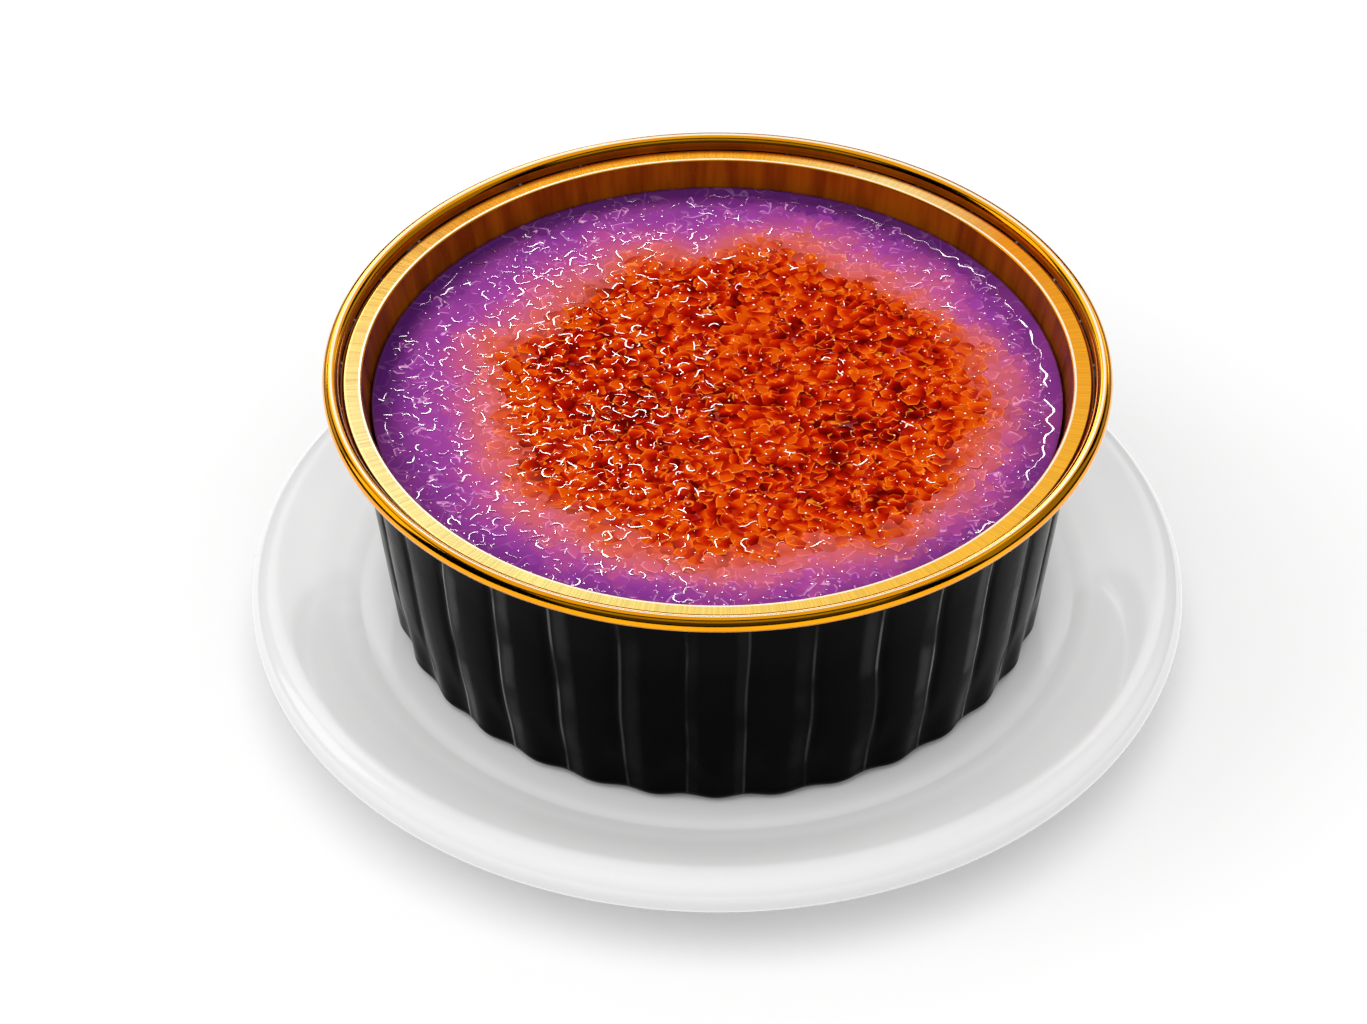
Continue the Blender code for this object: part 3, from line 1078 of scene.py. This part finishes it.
scattering = {
    "mostPoints": 4.0e6,  # for each square metre, before the spacing thins them
    "border": 0.2 * millimetre,  # over which they end at their reach
    "crustOver": (34.0 * millimetre, 27.0 * millimetre),  # outside it, on it
    "sink": 0.03 * millimetre,  # how much deeper flakes lie outside the crust
    "tilts": (0.35, 1.0),  # shares of the full tilt
    "depths": (0.75, 1.15),  # shares of the width
    "bendScale": 650.0,
    "bendUpward": 0.22,
    "bendShift": 10.0 * millimetre,  # for each step of the seed
}
rayStart = 4.0 * millimetre  # above a point that is laid
rayLength = 10.0 * millimetre


# flakes thin out past the crust, most of all at the left and back
def flakeWeight(tree, level):
    x, y, _ = splitPlace(tree, level)
    side = remap(tree, timesPlus(tree, y, -0.3, x), -18.0 * millimetre, 12.0 * millimetre, 0.35, 1.0)
    return remap(tree, crustReach(tree, level, 0.5), 30.0 * millimetre, 35.0 * millimetre, 1.0, side)


# threads lie on the left, in patches
def threadWeight(tree, level):
    x, _, _ = splitPlace(tree, level)
    side = remap(tree, x, 10.0 * millimetre, -18.0 * millimetre, 0.05, 1.0)
    patches = remap(tree, flatNoise(tree, level, 170.0), 0.35, 0.60, 0.35, 1.0)
    outer = remap(tree, vectorCalc(tree, "LENGTH", level), 36.0 * millimetre, 43.0 * millimetre, 1.0, 0.50)
    return times(tree, side, patches, outer)


def dropWeight(tree, level):
    return remap(tree, flatNoise(tree, level, 260.0), 0.38, 0.60, 0.12, 1.0)


def randomValue(tree, seed, low, high):
    node = addNode(tree, "FunctionNodeRandomValue", {"Seed": seed}, data_type="FLOAT")
    sockets = [socket for socket in node.inputs if socket.enabled]
    for socket, value in zip(sockets, (low, high)):
        feed(tree, socket, value)
    return [socket for socket in node.outputs if socket.enabled][0]


# drops every point straight down onto the target, or onto a surface above it;
# with climb a point only rises, where that stands higher than it
def layOnto(tree, geometry, target, rise, surface=None, climb=False):
    both = addNode(tree, "GeometryNodeJoinGeometry")
    below = addNode(tree, "GeometryNodeObjectInfo", {"Object": target}, transform_space="ORIGINAL")
    if surface is not None:
        tree.links.new(surface, both.inputs[0])
    tree.links.new(below.outputs["Geometry"], both.inputs[0])
    here = herePosition(tree)
    ray = addNode(tree, "GeometryNodeRaycast", {
        "Target Geometry": both.outputs[0],
        "Source Position": vectorCalc(tree, "ADD", here, (0.0, 0.0, rayStart)),
        "Ray Direction": (0.0, 0.0, -1.0),
        "Ray Length": rayLength,
    })
    x, y, z = splitPlace(tree, here)
    height = plus(tree, splitPlace(tree, ray.outputs["Hit Position"])[2], rise)
    if climb:
        height = calc(tree, "MAXIMUM", height, z)
    laid = joinPlace(tree, x, y, height)
    inputs = {"Geometry": geometry, "Selection": ray.outputs["Is Hit"], "Position": laid}
    return addNode(tree, "GeometryNodeSetPosition", inputs).outputs[0]


# scatters shapes from a collection over the custard: flakes keep their tilt, syrup is laid onto the flakes
def scatterTree(name, sizes, shapes, material, weight, onto=None):
    s, seed = scattering, sizes["Seed"]
    tree, size = newGeometryTree(name, {key: value for key, value in sizes.items() if key != "Seed"})
    here = herePosition(tree)
    level = flatPlace(tree, here)
    innermost = minus(tree, size["Reach"], s["border"])
    within = remap(tree, vectorCalc(tree, "LENGTH", level), innermost, size["Reach"], 1.0, 0.0)
    points = addNode(tree, "GeometryNodeDistributePointsOnFaces", distribute_method="POISSON")
    feedAll(tree, points, {
        "Mesh": size["Geometry"],
        "Selection": isAbove(tree, readValue(tree, "topSide"), 0.99),
        "Distance Min": size["Spacing"],
        "Density Max": s["mostPoints"],
        "Density Factor": times(tree, within, weight(tree, level)),
        "Seed": seed,
    })
    cloud = points.outputs["Points"]
    onCrust = remap(tree, crustReach(tree, level, 0.5), *s["crustOver"])
    if onto is None:
        # flakes sink deeper towards the edge of the crust
        depth = timesPlus(tree, minus(tree, onCrust, 1.0), s["sink"], size["Lift"])
        inputs = {"Geometry": cloud, "Offset": joinPlace(tree, 0.0, 0.0, depth)}
        cloud = addNode(tree, "GeometryNodeSetPosition", inputs).outputs[0]
    else:
        cloud = layOnto(tree, cloud, onto, size["Lift"], size["Geometry"])
    width = randomValue(tree, seed + 2, size["Smallest"], size["Largest"])
    cloud = storeValue(tree, cloud, "centre", here, "FLOAT_VECTOR")
    cloud = storeValue(tree, cloud, "tone", randomValue(tree, seed + 1, 0.0, 1.0))
    cloud = storeValue(tree, cloud, "width", width)

    flatten = remap(tree, onCrust, 0.0, 1.0, size["Flatten"], 1.0, smooth=False)
    tilt = times(tree, size["Tilt"], randomValue(tree, seed + 3, *s["tilts"]), flatten)
    turn = joinPlace(tree, tilt, 0.0, randomValue(tree, seed + 4, 0.0, math.tau))
    depth = times(tree, width, randomValue(tree, seed + 5, *s["depths"]))
    info = addNode(tree, "GeometryNodeCollectionInfo",
                   {"Collection": shapes, "Separate Children": True, "Reset Children": True})
    placed = addNode(tree, "GeometryNodeInstanceOnPoints", {
        "Points": cloud,
        "Instance": info.outputs[0],
        "Pick Instance": True,
        "Rotation": addNode(tree, "FunctionNodeEulerToRotation", {0: turn}).outputs[0],
        "Scale": joinPlace(tree, width, depth, times(tree, width, flatten)),
    })
    solid = addNode(tree, "GeometryNodeRealizeInstances", {0: placed.outputs[0]})

    # bends the shapes a little, so that no two look the same
    shifted = vectorCalc(tree, "ADD", here, (s["bendShift"] * seed, 0.0, 0.0))
    drift = noise(tree, shifted, s["bendScale"], output=1)
    drift = vectorCalc(tree, "SUBTRACT", drift, (0.5, 0.5, 0.5))
    drift = vectorCalc(tree, "MULTIPLY", drift, (1.0, 1.0, s["bendUpward"] if onto is None else 0.0))
    bend = vectorCalc(tree, "SCALE", drift, size["Warp"])
    warp = addNode(tree, "GeometryNodeSetPosition", {"Geometry": solid.outputs[0], "Offset": bend})
    geometry = warp.outputs[0]
    if onto is not None:
        rise = times(tree, readValue(tree, "rise"), readValue(tree, "width"))
        geometry = layOnto(tree, geometry, onto, rise, size["Geometry"], climb=True)
    return closeTree(tree, geometry, material)


# scatters the shapes over the custard as one piece
def scatterPiece(name, custard, sizes, meshes, material, weight, onto=None):
    shapes = bpy.data.collections.new(name + "Shapes")
    for mesh in meshes:
        shapes.objects.link(bpy.data.objects.new(mesh.name, mesh))
    piece = linkObject(name, custard.data.copy())
    runTree(piece, scatterTree(name + "Scatter", sizes, shapes, material, weight, onto), sizes)
    keepOneMaterial(piece, material)
    for shape in list(shapes.objects):
        bpy.data.objects.remove(shape)
    bpy.data.collections.remove(shapes)
    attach(piece, "root")
    print(name, "made,", len(piece.data.polygons), "faces")
    return piece


# rings of points round a top point and over a closing point below, as faces of one small solid
def ringFaces(sides, last):
    faces = []
    for i in range(sides):
        j = (i + 1) % sides
        faces.append((0, 1 + i, 1 + j))
        faces.append((1 + i, 1 + sides + i, 1 + sides + j, 1 + j))
        faces.append((last, 1 + sides + j, 1 + sides + i))
    return faces


# one flake, about 2 wide: a low dome with a round front edge, narrower at its sunk end
def flakeShape(name, corners, height, taper, seed):
    points, lift, edge = [(0.0, 0.05, height)], [0.5], [0.0]
    jitter = np.random.default_rng(seed).uniform(0.80, 1.15, corners)
    for radius, level in ((0.66, height * 0.66), (1.0, 0.0)):
        for i in range(corners):
            turn = math.tau * (i + 0.5) / corners
            x, y = radius * jitter[i] * math.cos(turn), radius * jitter[i] * math.sin(turn)
            points.append((x * (1.0 + taper * y), y * 1.12, level))
            lift.append(0.5 + 0.5 * y)
            edge.append(1.0 if radius == 1.0 else 0.0)
    points.append((0.0, 0.0, -0.16))
    lift.append(0.0)
    edge.append(0.0)
    mesh = meshWithValues(name, points, ringFaces(corners, len(points) - 1), lift=lift, edge=edge)
    mesh.set_sharp_from_angle(angle=math.radians(60))
    return mesh


# one or more bent, tapering threads that share a shape; each stroke gives its start, heading, length, bend
# and hook, the bend over its whole length and the hook over its last third, both in degrees
def threadShape(name, strokes, thickness, steps=6, sides=5, flatness=0.28):
    points, faces = [], []
    for x, y, heading, length, bend, hook in strokes:
        heading = math.radians(heading)
        first = len(points)
        for i in range(steps + 1):
            half = thickness * (0.30 + 0.70 * math.sin(math.pi * (0.14 + 0.72 * i / steps)))
            for j in range(sides):
                turn = math.tau * (j + 0.25) / sides
                across, up = half * math.cos(turn), flatness * half * (math.sin(turn) + 0.5)
                points.append((x - across * math.sin(heading), y + across * math.cos(heading), up))
            heading += math.radians(bend + (hook if i / steps > 0.6 else 0.0)) / steps
            x += math.cos(heading) * length / steps
            y += math.sin(heading) * length / steps
        faces += tubeFaces(first, steps, sides)
    return meshWithValues(name, points, faces, rise=[point[2] for point in points])


# the wall and both ends of a tube whose rings of points follow each other
def tubeFaces(first, steps, sides):
    faces = []
    for i in range(steps):
        for j in range(sides):
            a, b = first + i * sides + j, first + i * sides + (j + 1) % sides
            faces.append((a, a + sides, b + sides, b))
    faces.append(tuple(first + j for j in range(sides)))
    faces.append(tuple(first + steps * sides + j for j in reversed(range(sides))))
    return faces


# a low round drop with a closed underside
def dropShape(name, sides=6, height=0.16):
    points = [(0.0, 0.0, height)]
    for radius, level in ((0.55, 0.72 * height), (1.0, 0.0)):
        for i in range(sides):
            turn = math.tau * i / sides
            points.append((radius * math.cos(turn), radius * math.sin(turn), level))
    points.append((0.0, 0.0, -0.5 * height))
    rise = [point[2] for point in points]
    return meshWithValues(name, points, ringFaces(sides, len(points) - 1), rise=rise)


syrupLine = {
    "radius": 42.2 * millimetre, "wander": 0.75 * millimetre, "thickness": 0.15 * millimetre,
    "middle": 18.0,  # degrees from the right towards the back, where the line is fullest
    "steps": 1500, "sides": 6, "shortest": 5, "lift": 0.0, "seed": 5,
}


# a sum of waves round the cup with random heights and starts, from -1 to 1
def randomWaves(draws, turns, counts, fade=0.0):
    waves = np.zeros(len(turns))
    for count in counts:
        waves += draws.normal() / (count**fade) * np.cos(count * turns + draws.uniform(0.0, math.tau))
    return waves / np.abs(waves).max()


# a wavy bead of syrup along the wall, broken here and there; a swept thread around the custard
def syrupLineMesh():
    s = syrupLine
    steps, sides = s["steps"], s["sides"]
    draws = np.random.default_rng(s["seed"])
    turns = np.linspace(0.0, math.tau, steps, endpoint=False)
    radius = s["radius"] + s["wander"] * randomWaves(draws, turns, range(9, 120, 3), 0.6)
    gaps = randomWaves(draws, turns, range(5, 60, 2))
    # full on the right, thin dashes elsewhere
    bright = np.clip(1.3 * np.cos(turns - math.radians(s["middle"])) - 0.25, 0.0, 1.0)
    full = np.clip(-0.25 + 1.25 * bright + 1.5 * gaps, 0.0, 1.0) * s["thickness"] * (0.35 + 0.65 * bright)
    runs, run = [], []
    for i in range(steps):
        if full[i] > 0.08 * s["thickness"]:
            run.append(i)
        elif run:
            runs.append(run)
            run = []
    runs.append(run)

    points, faces = [], []
    for run in runs:
        if len(run) < s["shortest"]:
            continue
        first = len(points)
        for k, i in enumerate(run):
            end = min(k, len(run) - 1 - k, 3) / 3.0
            half = full[i] * (0.25 + 0.75 * end)
            for j in range(sides):
                turn = -math.tau * j / sides
                across, up = half * math.cos(turn), 0.30 * half * math.sin(turn) + 0.25 * half
                away = radius[i] + across
                points.append((away * math.cos(turns[i]), away * math.sin(turns[i]), custardHigh[2] + up))
        faces += tubeFaces(first, len(run) - 1, sides)
    rise = [point[2] - custardHigh[2] for point in points]
    return meshWithValues("syrupLine", points, faces, rise=rise, tone=[0.5] * len(points))


# lays the ready bead onto the custard
def layTree(material, custard):
    tree, size = newGeometryTree("laySyrup", {"Lift": syrupLine["lift"]})
    rise = plus(tree, readValue(tree, "rise"), size["Lift"])
    geometry = layOnto(tree, size["Geometry"], custard, rise)
    geometry = storeValue(tree, geometry, "centre", herePosition(tree), "FLOAT_VECTOR")
    return closeTree(tree, geometry, material)


def makeSugar(custard):
    flakes = [
        flakeShape("broadFlake", 9, 0.15, 0.18, 1),
        flakeShape("longFlake", 9, 0.18, -0.25, 2),
        flakeShape("roundFlake", 9, 0.14, 0.0, 3),
        flakeShape("cornerFlake", 8, 0.17, 0.30, 4),
        flakeShape("chipFlake", 7, 0.15, -0.10, 5),
    ]
    crust = scatterPiece("sugarFlakes", custard, flakeSizes, flakes, flakeMaterial(), flakeWeight)
    syrup = syrupMaterial("sugarSyrup", 0.05, 0.85)
    fork = [(-0.9, 0.0, 10.0, 1.7, -30.0, 0.0), (0.0, 0.05, 115.0, 0.9, -40.0, 0.0)]
    bend = [(0.0, 0.0, 25.0, 1.1, 20.0, 0.0), (0.0, 0.0, 160.0, 1.0, -30.0, 0.0)]
    threads = [
        threadShape("curledThread", [(-0.8, -0.5, 60.0, 2.2, -170.0, 0.0)], 0.105),
        threadShape("hookedThread", [(-1.0, 0.0, 5.0, 2.3, -20.0, -230.0)], 0.105),
        threadShape("wavyThread", [(-1.0, 0.2, -35.0, 2.2, 110.0, -260.0)], 0.10),
        threadShape("shortThread", [(-0.5, 0.0, 0.0, 1.1, 30.0, 0.0)], 0.105),
        threadShape("forkedThread", fork, 0.10, steps=4),
        threadShape("bentThread", bend, 0.10, steps=4),
    ]
    scatterPiece("syrupThreads", custard, threadSizes, threads, syrup, threadWeight, crust)
    dropMaterial = syrupMaterial("syrupDrops", 0.30)
    scatterPiece("syrupDrops", custard, dropSizes, [dropShape("drop")], dropMaterial, dropWeight, crust)
    line = linkObject("syrupLine", syrupLineMesh())
    runTree(line, layTree(syrup, custard), {"Lift": syrupLine["lift"]})
    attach(line, "root")
    print("syrupLine made")


makeSugar(makeCustard())
print("custard made")

addLamps()
print("lamps placed")
